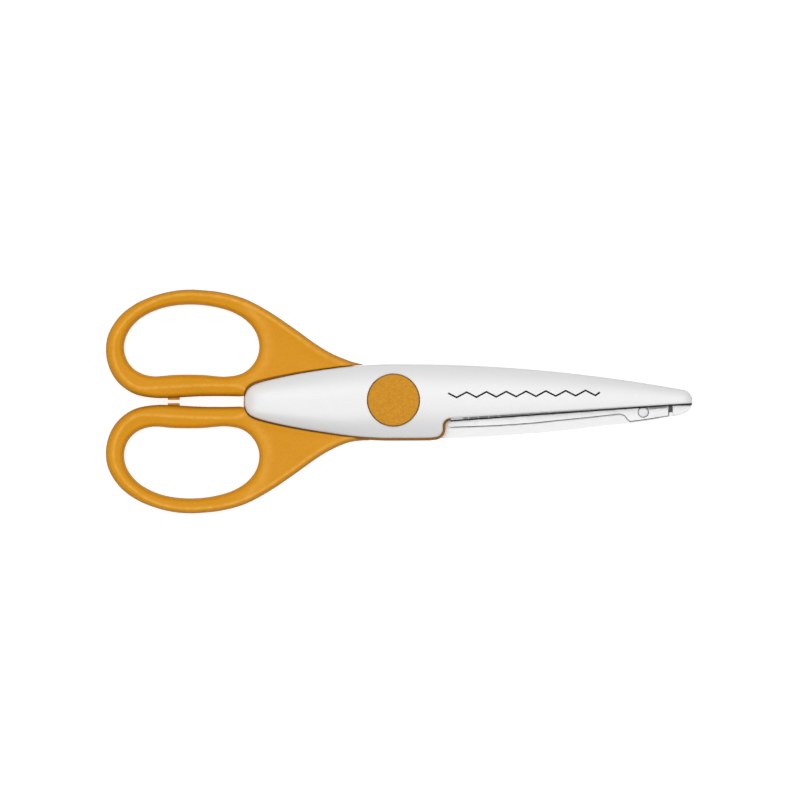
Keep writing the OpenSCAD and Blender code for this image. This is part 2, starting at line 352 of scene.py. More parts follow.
tail_curve = through(
    [
        (-TAIL, 0), (-TAIL + 0.15, 1.7), (-TAIL + 1.2, 3.65), (-TAIL + 3.6, 4.95), (-33.5, 6.25),
        (-27, 7.6), (-20, 8.75), (-12, 9.85), (-4, SHELL_W - 0.05), (WIDE_X, SHELL_W),
    ],
    12,
)
long_x = np.linspace(WIDE_X, TIP - 3.5, 60)[1:-1]
long_edge = np.stack([long_x, SHELL_W - (long_x - WIDE_X) ** 2 / (2 * EDGE_R)], 1)
nose_curve = through(
    [(TIP - 3.5, 3.45), (TIP - 2, 3.1), (TIP - 1, 2.45), (TIP - 0.4, 1.5), (TIP - 0.1, 0.3), (TIP, -0.5)], 8
)
edge_line = np.vstack([tail_curve[:-1], [[WIDE_X, SHELL_W]], long_edge, nose_curve])
whole_outline = np.vstack([edge_line, edge_line[::-1] * [1, -1]])


def edge_y(x):
    """Half of the shell's width at x."""
    return np.interp(x, edge_line[:, 0], edge_line[:, 1])


def lower_edge(x):
    """The shell's edge beside the blade."""
    rise = 0.0625
    return -NOTCH_DROP + rise * (x - NOTCH_X)


def notch(grow):
    """The step from the wide plate to the blade, from the wide side on."""
    wide_y = -NOTCH_DROP - NOTCH_INNER_R - NOTCH_WALL
    wide = arc(NOTCH_X - NOTCH_RUN, wide_y, NOTCH_OUTER_R + grow, -90, 0, 14)
    narrow = arc(NOTCH_X, -NOTCH_DROP - NOTCH_INNER_R, NOTCH_INNER_R - grow, 180, 90, 12)
    return np.vstack([wide, narrow])


def dome(points, outline):
    """The height of the shell's top, which rises faster from the edge on the tail's -y side."""
    p = np.array(points, float)
    least_half = 3.2
    half = np.maximum(edge_y(p[:, 0]), least_half)
    t = np.clip(distance(p, outline) / half, 0, 1)
    rise = (CROWN - SIDE_Z) * np.minimum(1, half / SHELL_W) ** 0.9
    fuller = smooth_step(-p[:, 1], 0, 4) * smooth_step(-p[:, 0], 0, 18)
    power = 2.1 + 1.7 * fuller
    return SIDE_Z + rise * (1 - (1 - t) ** power)


def shell_lines(under, bulge):
    """Pairs of points on the outer edge and on the blade's or handle's side, from the tail to the tip.

    The handle's side stands in by under, and the outer edge near the tip stands out by bulge.
    """
    tail_x = -TAIL + np.array([0.02, 0.06, 0.13, 0.24, 0.4, 0.6, 0.85, 1.2, 1.6, 2.1, 2.8, 3.6])
    xs = np.concatenate([tail_x, np.linspace(-TAIL + 4.5, NOTCH_X - NOTCH_RUN, 46)])
    drawn_in = under * smooth_step(xs, -TAIL, -TAIL + 3)
    lower = np.stack([xs, -np.maximum(edge_y(xs) - drawn_in, 0.2)], 1)
    step = notch(0)
    run = np.concatenate([[0], np.cumsum(np.linalg.norm(np.diff(step, axis=0), axis=1))])
    step_x = NOTCH_X - NOTCH_RUN + NOTCH_RUN * run / run[-1]
    lower[-1] = step[0]
    tip_x = TIP - np.array([3.3, 2.7, 2.2, 1.8, 1.4, 1.1, 0.8, 0.6, 0.42, 0.28, 0.18])
    blade_x = np.concatenate([[NOTCH_X + 0.05], np.linspace(NOTCH_X + 1, TIP - 4, 54), tip_x])
    low = np.vstack([lower, step[1:], np.stack([blade_x, lower_edge(blade_x)], 1)])
    up_x = np.concatenate([xs, step_x[1:], blade_x])
    swell = bulge * smooth_step(up_x, 58, 68) * (1 - smooth_step(up_x, TIP - 5, TIP - 1))
    tail_swell = 0.12
    swell += tail_swell * smooth_step(-up_x, 6, 24) * smooth_step(up_x, -TAIL, -TAIL + 3)
    up = np.stack([up_x, np.maximum(edge_y(up_x), -0.3) + swell], 1)
    return up, low


def half_shell(name, under, bulge, trim):
    """The domed shell, with the pocket for its blade and the well for its cap."""
    up, low = shell_lines(under, bulge)
    outline = np.vstack([up, low[::-1]])
    across = np.array([0, 0.05, 0.13, 0.26, 0.45, 0.8, 1.4])
    rings = []
    for a, b in zip(up, low):
        w = np.linalg.norm(b - a)
        near = across * min(1, 0.45 * w / across[-1])
        middle = np.linspace(near[-1], w - near[-1], 15)[1:-1]
        s = np.concatenate([near, middle, w - near[::-1]]) / w
        rings.append(a + (b - a) * s[:, None])
    plan = np.array(rings)
    flat = plan.reshape(-1, 2)
    fillet = 0.32
    z = dome(flat, whole_outline) - fillet * (1 - quarter(distance(flat, outline, True), fillet))
    z = z.reshape(plan.shape[:2])
    loops = []
    for (a, b), row, heights in zip(zip(up, low), plan, z):
        near_floor = INNER_Z if b[0] > NOTCH_X + 0.01 else PLATE[1]
        far_floor = INNER_Z if a[0] > PLATE_END + 0.2 else PLATE[1]
        top = [(x, y, h) for (x, y), h in zip(row, heights)]
        width = a[1] - b[1]
        share = min(0.5, (PLATE_SPLIT + 0.2 - b[1]) / width if width > 6 else 0.3)
        split = b + (a - b) * share
        below = [(*point, near_floor) for point in (b, (b + split) / 2, split)]
        below += [(*point, far_floor) for point in (split, (a + split) / 2, a)]
        loops.append(top + below)
    shell = mesh_object(name, *tube(loops))
    pocket = grown(blade_outline(NOTCH_X - 0.5, trim), POCKET_FIT)
    combine(shell, prism("pocket", pocket, -1, INNER_Z + STEEL + 0.02), "DIFFERENCE")
    bush_r, spigot_z, cap_r = BUSH_R + WELL_FIT, 2.6, CAP_R + CAP_FIT
    well = turned("well", [
        (NEAR_AXIS, 0), (bush_r, 0), (bush_r, spigot_z), (CAP_SPIGOT_R, spigot_z), (CAP_SPIGOT_R, LEDGE_Z),
        (cap_r, LEDGE_Z), (cap_r, 6), (NEAR_AXIS, 6),
    ])
    well.data.transform(move_matrix(*CAP_AT))
    combine(shell, well, "DIFFERENCE")
    slot = [(TAB_END - 0.3, -0.6), (SLOT_END, -0.6), (SLOT_END, 3.0), (TAB_END - 0.3, 3.2)]
    combine(shell, prism("slot", slot, 0, 2.15), "DIFFERENCE")
    combine(shell, nose_block(up), "UNION")
    return shell


def nose_block(up):
    """The raised block that closes the blade's pocket at the tip."""
    back, inner, inset = TAB_END + 1.3, 1.25, 0.12
    side = np.array([p for p in up if back + 0.1 < p[0] and p[1] > inner + 0.05])
    corner = (back, np.interp(back, up[:, 0], up[:, 1]) - inset)
    outline = np.vstack([[(back, inner), corner], side - [0.08, inset], [(TIP - 0.4, inner)]])
    return prism("nose", outline, 0.3, 1.6, bevel=0.18)


def grown(outline, by):
    """An outline moved outwards by a small distance."""
    p = np.array(outline, float)
    before, after = np.roll(p, 1, axis=0), np.roll(p, -1, axis=0)
    e0, e1 = p - before, after - p
    e0 /= np.linalg.norm(e0, axis=1)[:, None]
    e1 /= np.linalg.norm(e1, axis=1)[:, None]
    n0 = np.stack([e0[:, 1], -e0[:, 0]], 1)
    n1 = np.stack([e1[:, 1], -e1[:, 0]], 1)
    area = 0.5 * np.sum(p[:, 0] * after[:, 1] - after[:, 0] * p[:, 1])
    n = n0 + n1
    n /= np.maximum((n * n0).sum(1), 0.35)[:, None]
    return p + n * by * (1 if area > 0 else -1)


# ---------- the blade ----------


def cut_y(x):
    """The cutting edge, which leans inwards to the tip."""
    lean = 0.071
    return -5.65 + lean * (x - NOTCH_X)


def wave(r, flip):
    """The height of the toothed surface at a distance r from the pivot."""
    t = (r - WAVE_START) / PITCH
    tri = 2 * np.abs(2 * ((t + 0.25) % 1) - 1) - 1
    inside = (r > WAVE_START) & (r < WAVE_END)
    return -flip * TOOTH * tri * inside


border_curve = np.vstack([
    through([(NOTCH_X, BORDER_START), (28, 6.85), (38, 6.2), (46, 5.4), (54, 4.6), (61.4, 3.8)], 8),
    through(
        [
            (62.2, 3.7), (TIP - 20.2, 3.62), (TIP - 19.0, 4.1), (TIP - 18.2, 5.05), (TIP - 17.6, 5.55),
            (TIP - 17.0, 5.62),
        ],
        8,
    ),
    [(TIP - 12.5, 5.0), (TIP - 7.2, 4.15)],
])


def border_y(x, trim):
    """The blade's outer border, brought in by trim at the tab."""
    y = np.interp(x, border_curve[:, 0], border_curve[:, 1]) - trim * smooth_step(x, 61, 66.5)
    return np.where(x <= TAB_END, y, TAB_SIDE)


def lip_width(x):
    """The toothed lip narrows towards the tip."""
    return LIP_W * (1 - 0.6 * smooth_step(x, TIP - 13, TIP))


def blade_outline(x0, trim):
    """The blade in plan, from x0 to the tip."""
    xs = border_curve[border_curve[:, 0] > max(x0, NOTCH_X) + 0.1][:, 0]
    border = np.stack([xs, border_y(xs, trim)], 1)
    corner = float(border_y(TAB_END, trim))
    past_edge, past_tip = 0.3, TIP + 0.5
    cut_side = [(x0, cut_y(x0) - past_edge), (past_tip, cut_y(TIP) - past_edge)]
    tab = [(past_tip, TAB_SIDE), (TAB_END, TAB_SIDE), (TAB_END, corner)]
    return np.vstack([cut_side, tab, border[::-1], [(x0, BORDER_START)]])


def half_blade(name, flip, trim):
    """The toothed lip, the wall that joins it to the flange, and the flange."""
    top = INNER_Z + STEEL
    grind = 0.42
    edge_h = 0.06
    bend = 0.02
    xs = np.unique(np.concatenate([
        np.arange(NOTCH_X + 0.1, TIP - 0.15, 0.22), np.linspace(62, 67.4, 40),
        [TAB_END - 0.02, TAB_END, TAB_END + 0.02, TIP - 0.12],
    ]))
    loops = []
    for x in xs:
        y0 = float(cut_y(x))
        lip = float(lip_width(x))
        far = float(border_y(x, trim))
        wall = min(STEEL, far - 0.25 - (y0 + lip))
        flat = lip - grind
        ys = y0 + np.array([0, grind * 0.5, grind, grind + flat * 0.33, grind + flat * 0.67, lip])
        under = [(x, y, wave(math.hypot(x, y), flip) + LIP_GAP) for y in ys]
        rise = np.array([edge_h, (edge_h + STEEL) / 2, STEEL, STEEL, STEEL, STEEL])
        over = [(x, y, z + h) for (_, y, z), h in zip(under, rise)]
        yr = y0 + lip + wall
        foot = wave(math.hypot(x, yr), flip) + LIP_GAP
        middle = (yr + far) / 2
        flange = [
            (x, yr, foot), (x, yr + bend, INNER_Z), (x, middle, INNER_Z), (x, far - CHAMFER, INNER_Z),
            (x, far, INNER_Z + CHAMFER), (x, far, top), (x, middle, top), (x, y0 + lip + bend, top),
        ]
        loops.append(under + flange + over[::-1])
    blade = mesh_object(name, *tube(loops), sharp=24)
    root_end = NOTCH_X + 0.3
    eye = np.vstack([arc(0, 0, EYE_R, 40, 320, 40), [(root_end, -2.4), (root_end, 7.2)]])
    combine(blade, prism("root", eye, INNER_Z + 0.01, top - 0.01), "UNION")
    combine(blade, drill("eye", BUSH_R + 0.1, -3, 5), "DIFFERENCE")
    for x, y in RIVETS:
        hole = drill("hole", RIVET_R + RIVET_FIT, -3, 5, 48)
        hole.data.transform(move_matrix(x, y))
        combine(blade, hole, "DIFFERENCE")
    # The step behind the tab carries the near-black steel of the painted shadow before the nose block.
    inner, outer = TAB_SIDE + 0.05, float(border_y(TAB_END, trim)) - 0.1
    step = [(STEP[0], inner), (STEP[1], inner), (STEP[1], outer), (STEP[0], outer)]
    merge(blade, prism("step", step, INNER_Z + 0.2, top - 0.02))
    shade(blade, 24)
    return blade


# ---------- the handle ----------


def between(line, a, b):
    """The stretch of a closed line from the point nearest a on to the point nearest b."""
    i = int(np.argmin(np.linalg.norm(line - a, axis=1)))
    j = int(np.argmin(np.linalg.norm(line - b, axis=1)))
    if j <= i:
        j += len(line)
    return line[np.arange(i, j + 1) % len(line)]


def softened(line, reach):
    """A line with its small kinks averaged out."""
    kernel = np.hanning(2 * reach + 3)[1:-1]
    kernel /= kernel.sum()
    padded = np.pad(line, ((reach, reach), (0, 0)), mode="edge")
    return np.stack([np.convolve(padded[:, k], kernel, mode="valid") for k in range(2)], 1)


# The finger opening, from its end at the web on over the top
opening = around(
    [
        (-37.9, 14.7), (-38.7, 19.1), (-41.6, 22.8), (-46.4, 25.5), (-52.9, 27.0), (-59.6, 27.2),
        (-65.8, 26.1), (-71.2, 23.5), (-74.6, 19.9), (-76.0, 15.7), (-75.1, 11.5), (-72.3, 8.5),
        (-67.8, 7.1), (-61.5, 7.5), (-54.2, 7.5), (-47.6, 7.0), (-42.7, 7.9), (-39.4, 10.7),
    ],
    60,
)
# The bow's outside, from the web over the top and round to the arm
bow_line = softened(
    through(
        [
            (-42.0, 28.9), (-48.8, 30.7), (-54.9, 31.4), (-61.1, 31.2), (-67.2, 29.8), (-72.9, 27.3),
            (-77.6, 23.4), (-80.6, 17.9), (-80.7, 11.7), (-78.2, 6.1), (-73.4, 2.3), (-67.3, 1.0),
            (-61.1, 1.1), (-54.9, 1.43), (-48.6, 1.5), (-42.0, 1.4),
        ],
        46,
    ),
    8,
)
bow_top = (BOW_X, 31.5)
FLANK = [
    (-55, 31.4), (-48.8, 30.72), (-42, 28.9), (-35.3, 25.4), (-28.5, 20.85), (-21.8, 16.05), (-17.3, 13.4),
    (-13, 11.6),
]


def seam(closing, clearance, tip):
    """The tail's outline, moved outwards, from the arm to the web's tip.

    The gap leaves clearance, and room for the tail to turn by closing (in radians) towards the web.
    """
    line = resample(tail_curve[tail_curve[:, 0] < tip[0] + 0.5], 200)
    out = normals(line)
    line = line + out * (clearance - closing * line[:, 0] * out[:, 1])[:, None]
    line = line[(line[:, 1] > ARM_Y + 0.12) & (line[:, 0] < tip[0] - 0.1)]
    return np.vstack([line, [tip]])


def handle_h(x):
    """Half of the handle's thickness: full at the bow, thinner along the web."""
    margin, thinner = 0.03, 2.1
    return HALF_THICK - margin - thinner * smooth_step(x, -42, -12)


def crest_offset(points, d_out):
    """How far a point lies inside the soft ridge that follows the outer edge.

    The ridge lies further in on the arm and at the bow's far end.
    """
    x, y = points[:, 0], points[:, 1]
    on_arm = smooth_step(11 - y, 0, 4) * smooth_step(x, -74, -64) * (1 - smooth_step(x, -45, -39))
    at_end = 1 - smooth_step(x, -77, -64)
    return d_out - (CREST + 1.75 * on_arm + 0.85 * at_end)


def handle_top(points, edge, seam_line):
    """The height of the handle's surface.

    It has a soft ridge inside the outer edge, rounded edges, and a web that is hollow in its middle.
    """
    d_in = distance(points, opening[::3], True)
    d_out = distance(points, edge)
    d_seam = distance(points, seam_line)
    x, y = points[:, 0], points[:, 1]
    seam_round = 0.45
    high = handle_h(x) - seam_round * (1 - quarter(d_seam, seam_round))
    for d in (d_in, d_out):
        high -= EDGE_DROP * (1 - quarter(d, EDGE_ROUND))
    slope, sharpness, deepest = 0.3, 0.2, 0.85
    fall = slope * (np.sqrt(crest_offset(points, d_out) ** 2 + sharpness) - math.sqrt(sharpness))
    high -= deepest * (1 - np.exp(-fall / deepest))
    in_web = smooth_step(x, -46, -38) * smooth_step(d_out, 1.5, 4)
    high += in_web * 0.35 * np.exp(-(((d_in - 2.3) / 1.5) ** 2))
    high += in_web * 0.3 * np.exp(-((d_seam / 1.4) ** 2))
    return np.maximum(high, 0.5)


def handle_pairs(on_rim):
    """Matching points on the finger opening and on the outside, sector by sector.

    At the shell there are two outsides: the seam of the shell that turns, and that of the handle's own shell.
    The web's edge ends at the shell, or on the rim beside it where on_rim is true.
    """
    end = [(-9.6, SHELL_W + 0.57), (-7.0, SHELL_W + 0.47)] if on_rim else [(-10.6, 10.85), (-8.6, 10.4)]
    flank = through(FLANK + end, 24)
    flank = flank[flank[:, 0] >= BOW_X]
    tip = tuple(flank[-1])
    flank = np.vstack([[bow_top], flank[1:]])
    left, bottom, corner, side = (-81, BOW_Y), (BOW_X, ARM_Y), (-43.5, 6), (-39.6, 9.3)
    free, own = seam(0.0175, 0.13, tip), seam(0.004, 0.15, tip)
    arm = bow_line[between_index(bow_line, bottom):between_index(bow_line, (free[0][0] - 0.3, ARM_Y)) + 1]
    sectors = []

    def add(inner, outside, n, b_own=None):
        lines = (inner, outside, outside if b_own is None else b_own)
        rows = zip(*(resample(line, n)[:-1] for line in lines))
        sectors.extend((*row, b_own is not None) for row in rows)

    for start, stop, n in ((bow_top, left, 34), (left, bottom, 38)):
        outside = bow_line[between_index(bow_line, start):between_index(bow_line, stop) + 1]
        add(between(opening, start, stop), outside, n)
    add(between(opening, bottom, corner), arm, 16)
    add(between(opening, corner, side), free, 64, own)
    add(between(opening, side, bow_top), flank[::-1], 72)
    outer = bow_line[between_index(bow_line, bow_top):between_index(bow_line, arm[-1]) + 1]
    return sectors, np.vstack([flank[::-1], outer]), free, own


def between_index(line, point):
    """The place of the line's point nearest to a point."""
    return int(np.argmin(np.linalg.norm(line - np.array(point), axis=1)))


def bow(name, on_rim):
    """The ring round the finger opening, with the arm and the web, up to the seam beside the shell."""
    sectors, edge, free, own = handle_pairs(on_rim)
    near = EDGE_ROUND * (1 - np.cos(np.radians([0, 14, 28, 42, 56, 72, 90])))
    tops, bottoms = [], []
    for a, b_free, b_own, joined in sectors:
        for b, rows in ((b_free, tops), (b_own, bottoms)):
            w = np.linalg.norm(b - a)
            k = min(1, 0.4 * w / EDGE_ROUND)
            far = w - near[::-1] * k
            if joined:
                far = w - np.array([1.6, 0.95, 0.6, 0.36, 0.18, 0.06, 0.0]) * min(1, w / 8)
            middle = np.linspace(near[-1] * k, far[0], 15)[1:-1]
            d = np.concatenate([near * k, middle, far])
            rows.append(a + (b - a) * (d / w)[:, None])
    n = len(tops[0])
    top_z = handle_top(np.vstack(tops), edge, free).reshape(-1, n)
    low_z = handle_top(np.vstack(bottoms), edge, own).reshape(-1, n)
    rings = []
    for k, (a, b_free, b_own, joined) in enumerate(sectors):
        upper = [(x, y, z) for (x, y), z in zip(tops[k], top_z[k])]
        lower = [(x, y, -z) for (x, y), z in zip(bottoms[k], low_z[k])][::-1]
        if joined:
            lower[0] = (*lower[0][:2], min(lower[0][2], -PLATE[1] - 0.03))
            wall = [(*point, -PLATE[0]) for point in (b_free, (b_free + b_own) / 2, b_own)]
            wall.append((*b_own, -PLATE[1]))
        else:
            h = upper[-1][2]
            wall = [(*b_free, h * f) for f in (0.6, 0.2, -0.2, -0.6)]
        rings.append([(*a, 0.0)] + upper + wall + lower)
    return mesh_object(name, *tube(rings, closed=True))


def plate_outline(rim):
    """The plate under the shell, in the front half's own coordinates."""
    tail_end = resample(tail_curve[tail_curve[:, 0] < -TAIL + 1], 9)
    over_end = tail_end + 0.08 * normals(tail_end)
    under_end = (tail_end + 0.3 * normals(tail_end)) * (1, -1)
    xs = np.concatenate([-TAIL + np.array([1.3, 1.8, 2.6, 3.6]), np.linspace(-TAIL + 5, PLATE_END, 40)])
    up = np.stack([xs, edge_y(xs) - 0.3], 1)
    back = np.linspace(NOTCH_X - NOTCH_RUN, -TAIL + 1, 44)
    root = 0.8
    grow = root + (rim - root) * smooth_step(back, -16, -8)
    down = np.stack([back, -(edge_y(back) - FRONT_UNDER + grow)], 1)
    step = notch(rim)[::-1]
    down[0] = step[-1]
    corner = [(PLATE_END, PLATE_SPLIT), (NOTCH_X, PLATE_SPLIT)]
    return np.vstack([over_end[1:], up, corner, step[:-1], down, under_end[::-1]])


def mark(obj, **layers):
    """Stores values for the materials on the mesh's points."""
    for name, values in layers.items():
        layer = obj.data.attributes.new(name, "FLOAT", "POINT")
        layer.data.foreach_set("value", np.asarray(values, np.float32))


def mark_handle(obj, edge, own_points):
    """Marks a painted highlight along the ridge and beside the opening, painted shade on the edges, the plate
    and the pad, and a painted shadow on the plate in the slot beside the shell.

    The mesh's first own_points points are the bow's, and the others the plate's and the pad's.
    """
    points = np.array([v.co for v in obj.data.vertices])
    x, y, z = points.T
    plan = points[:, :2]
    d_in = distance(plan, opening[::2], True)
    d_out = distance(plan, edge)
    web = smooth_step(x, -46, -38)
    # Painted highlight: a paler band along the ridge inside the outer edge, and beside the opening in the
    # web, where light catches the surface.
    pale = 0.7 * np.exp(-((crest_offset(plan, d_out) / 0.4) ** 2))
    pale += 0.4 * np.exp(-(((d_in - 2.7) / 1.2) ** 2)) * web
    arm_side = smooth_step(12 - y, 0, 6)
    # Painted shade: darker along the outer and inner edges, wider and stronger on the arm's side.
    dark = np.maximum(1 - smooth_step(d_out, 0.05, 0.65), 0.25 * (1 - smooth_step(d_in, 0, 0.4)))
    dark = np.maximum(dark, (0.2 + 0.2 * arm_side) * (1 - smooth_step(d_out, 0.3, 1.1 + 0.6 * arm_side)))
    joined = np.arange(len(x)) >= own_points
    pads = y < ARM_Y - 0.03
    # Painted shadow on the deeper part of the plate in the slot beside the shell, darkest towards the tail.
    slot = joined * ~pads * (0.5 + 0.5 * (1 - smooth_step(x, -12, -9))) * (z < 1 - PLATE[1])
    # Painted shade also covers all of the plate and most of the pad.
    mark(obj, pale=pale * ~joined, dark=np.where(joined, 1 - 0.4 * pads, dark), slot=slot)


def half_handle(name, rim):
    """The bow and web, the plate with its bore, and the stop pad, which are moulded in one."""
    body = bow(name, rim > 0)
    plate = prism("plate", plate_outline(rim), PLATE[0], PLATE[1], bevel=0.28)
    combine(plate, drill("bore", BUSH_R + 0.06, -8, 8), "DIFFERENCE")
    for c in (v.co for v in plate.data.vertices):
        c.y, c.z = -c.y, -c.z
    own_points = len(body.data.vertices)
    merge(body, plate, pad_solid())
    mark_handle(body, handle_pairs(rim > 0)[1], own_points)
    return body


def pad_solid():
    """The stop pad on the inner arm."""
    x = BOW_X - 5
    root = ARM_Y + 1.2
    outline = [(x - 1.65, PAD_FACE), (x + 1.5, PAD_FACE), (x + 1.8, root), (x - 2.0, root)]
    return prism("pad", outline, -2, 2, bevel=0.12)


# ---------- small pieces ----------


def half_cap(name):
    """The round cap over the pivot, with a rounded rim."""
    r, top, under = CAP_R, HALF_THICK, 3.75
    spigot_r, seat = CAP_SPIGOT_R, LEDGE_Z + 0.01
    cap = turned(name, [
        (NEAR_AXIS, under), (spigot_r - 0.1, under), (spigot_r, under - 0.05), (spigot_r, seat),
        (r - 0.1, seat), (r, LEDGE_Z + 0.1), (r, top - 0.42), (r - 0.05, top - 0.24), (r - 0.17, top - 0.1),
        (r - 0.38, top - 0.02), (r - 0.8, top), (r * 0.5, top), (NEAR_AXIS, top),
    ], 128)
    radii = [v.co.xy.length for v in cap.data.vertices]
    # Painted shade on the cap's rounded rim.
    mark(cap, dark=smooth_step(np.array(radii), r - 0.42, r - 0.16))
    cap.data.transform(move_matrix(*CAP_AT))
    return cap


def rivets(name):
    """The two rivets that hold the blade, with their flush heads and their wide ends in the shell."""
    r, z = RIVET_R, INNER_Z
    neck, end, end_r = z + 1.1, z + 1.55, r + 0.5
    made = []
    for x, y in RIVETS:
        one = turned(name, [
            (NEAR_AXIS, z - 0.02), (r * 0.6, z - 0.015), (r - 0.18, z + 0.01), (r - 0.04, z + 0.05),
            (r, z + 0.14), (r, neck), (end_r, neck), (end_r, end), (NEAR_AXIS, end),
        ], 48)
        one.data.transform(move_matrix(x, y))
        made.append(one)
    merge(*made)
    return made[0]


def zigzag(name):
    """The printed line on the front shell, which runs beside the teeth."""
    half_w, height, lean = 0.245, 0.73, 0.0144
    above, below = 0.012, 0.03
    first_x, first_y, turns = 17.6, 1.86, 15
    xs = [15.2] + [first_x + PITCH * k / 2 for k in range(turns)] + [57.85]
    middle = [first_y + lean * PITCH * k / 2 for k in range(turns)]
    ys = [2.35] + [y + (height if k % 2 else -height) for k, y in enumerate(middle)] + [2.6]
    corners = np.array(list(zip(xs, ys)))
    d = np.diff(corners, axis=0)
    d /= np.linalg.norm(d, axis=1)[:, None]
    n = np.stack([-d[:, 1], d[:, 0]], 1)
    miter = np.vstack([n[:1], n[:-1] + n[1:], n[-1:]])
    own = np.vstack([n[:1], n[:-1], n[-1:]])
    miter /= (miter * own).sum(1)[:, None]
    left, right = corners + miter * half_w, corners - miter * half_w
    rings = []
    steps = 6
    for k in range(len(corners) - 1):
        for s in range(steps + (k == len(corners) - 2)):
            f = s / steps
            a, b = (side[k] + (side[k + 1] - side[k]) * f for side in (left, right))
            za, zb = dome([a, b], whole_outline)
            rings.append([(*a, za - below), (*a, za + above), (*b, zb + above), (*b, zb - below)])
    return mesh_object(name, *tube(rings))


# ---------- materials ----------


class Nodes:
    """A short way to build one material."""

    def __init__(self, name):
        self.mat = bpy.data.materials.new(name)
        self.mat.use_nodes = True
        self.tree = self.mat.node_tree
        self.shader = self.tree.nodes["Principled BSDF"]
        self.place = self.add("ShaderNodeTexCoord").outputs["Object"]

    def add(self, kind, **values):
        node = self.tree.nodes.new(kind)
        for key, value in values.items():
            if hasattr(node, key):
                setattr(node, key, value)
            else:
                node.inputs[key.replace("_", " ")].default_value = value
        return node

    def link(self, a, b):
        self.tree.links.new(a, b)

    def noise(self, size_mm, detail=3.0, stretch=(1, 1, 1)):
        """Noise with grains of about size_mm, drawn out by stretch."""
        scaled = self.add("ShaderNodeMapping")
        scaled.inputs["Scale"].default_value = [1 / (size_mm * MM * s) for s in stretch]
        node = self.add("ShaderNodeTexNoise")
        node.inputs["Scale"].default_value = 1.0
        node.inputs["Detail"].default_value = detail
        self.link(self.place, scaled.inputs["Vector"])
        self.link(scaled.outputs["Vector"], node.inputs["Vector"])
        return node.outputs["Fac"]

    def spread(self, source, low, high, start=0.3, end=0.7):
        """A value from low to high as source goes from start to end."""
        node = self.add("ShaderNodeMapRange")
        for key, value in (("From Min", start), ("From Max", end), ("To Min", low), ("To Max", high)):
            node.inputs[key].default_value = value
        self.link(source, node.inputs["Value"])
        return node.outputs["Result"]

    def blend(self, factor, a, b):
        node = self.add("ShaderNodeMix", data_type="RGBA")
        self.link(factor, node.inputs["Factor"])
        for key, value in ((6, a), (7, b)):
            if isinstance(value, tuple):
                node.inputs[key].default_value = (*value, 1)
            else:
                self.link(value, node.inputs[key])
        return node.outputs[2]

    def attribute(self, name):
        return self.add("ShaderNodeAttribute", attribute_name=name).outputs["Fac"]

    def multiply(self, a, b):
        node = self.add("ShaderNodeMath", operation="MULTIPLY")
        self.link(a, node.inputs[0])
        self.link(b, node.inputs[1])
        return node.outputs[0]

    def bump(self, height, strength, depth_mm):
        node = self.add("ShaderNodeBump")
        node.inputs["Strength"].default_value = strength
        node.inputs["Distance"].default_value = depth_mm * MM
        self.link(height, node.inputs["Height"])
        return node.outputs["Normal"]

    def set(self, **values):
        """Gives the shader numbers or links."""
        for key, value in values.items():
            socket = self.shader.inputs[key.replace("_", " ")]
            if isinstance(value, (int, float)):
                socket.default_value = value
            else:
                self.link(value, socket)
        return self.mat


def orange_plastic():
    m = Nodes("orange_plastic")
    broad = m.spread(m.noise(9, 2), 0, 1)
    fine = m.spread(m.noise(0.5, 4), 0, 1, 0.25, 0.75)
    base = m.blend(broad, (0.655, 0.268, 0.006), (0.695, 0.292, 0.009))
    speck = m.blend(fine, (0.605, 0.241, 0.004), (0.735, 0.321, 0.013))
    mix = m.add("ShaderNodeMix", data_type="RGBA")
    mix.inputs[0].default_value = 0.45
    m.link(base, mix.inputs[6])
    m.link(speck, mix.inputs[7])
    patchy = m.noise(1.6, 3)
    # Painted highlight: a paler orange along the ridge and beside the opening.
    pale = m.multiply(m.attribute("pale"), m.spread(patchy, 0.35, 1.0))
    dark = m.multiply(m.attribute("dark"), m.spread(patchy, 1.0, 0.75))
    color = m.blend(pale, mix.outputs[2], (0.86, 0.45, 0.075))
    # Painted shade: a darker brown on the edges, the plate and the pad.
    color = m.blend(dark, color, (0.40, 0.15, 0.012))
    # Painted shadow: near-black on the plate in the gap beside the shell.
    color = m.blend(m.attribute("slot"), color, (0.06, 0.03, 0.01))
    grain = m.bump(m.noise(0.42, 3), 0.35, 0.05)
    rough = m.spread(m.noise(0.6, 2), 0.36, 0.5)
    return m.set(Base_Color=color, Roughness=rough, Normal=grain, IOR=1.46, Specular_IOR_Level=0.09)


def cap_plastic():
    m = Nodes("cap_plastic")
    fine = m.spread(m.noise(0.45, 4), 0, 1, 0.35, 0.65)
    speck = m.blend(fine, (0.545, 0.232, 0.012), (0.665, 0.296, 0.022))
    # Painted shade: darker on the cap's rounded rim.
    color = m.blend(m.attribute("dark"), speck, (0.25, 0.11, 0.02))
    grain = m.bump(m.noise(0.4, 3), 0.8, 0.12)
    rough = m.spread(m.noise(0.5, 2), 0.55, 0.7)
    return m.set(Base_Color=color, Roughness=rough, Normal=grain, Specular_IOR_Level=0.12)


def white_plastic():
    m = Nodes("white_plastic")
    color = m.blend(m.spread(m.noise(14, 2), 0, 1), (0.675, 0.675, 0.677), (0.69, 0.69, 0.69))
    grain = m.bump(m.noise(0.3, 2), 0.05, 0.02)
    rough = m.spread(m.noise(1.2, 3), 0.3, 0.36)
    return m.set(Base_Color=color, Roughness=rough, Normal=grain, IOR=1.5, Specular_IOR_Level=0.72)


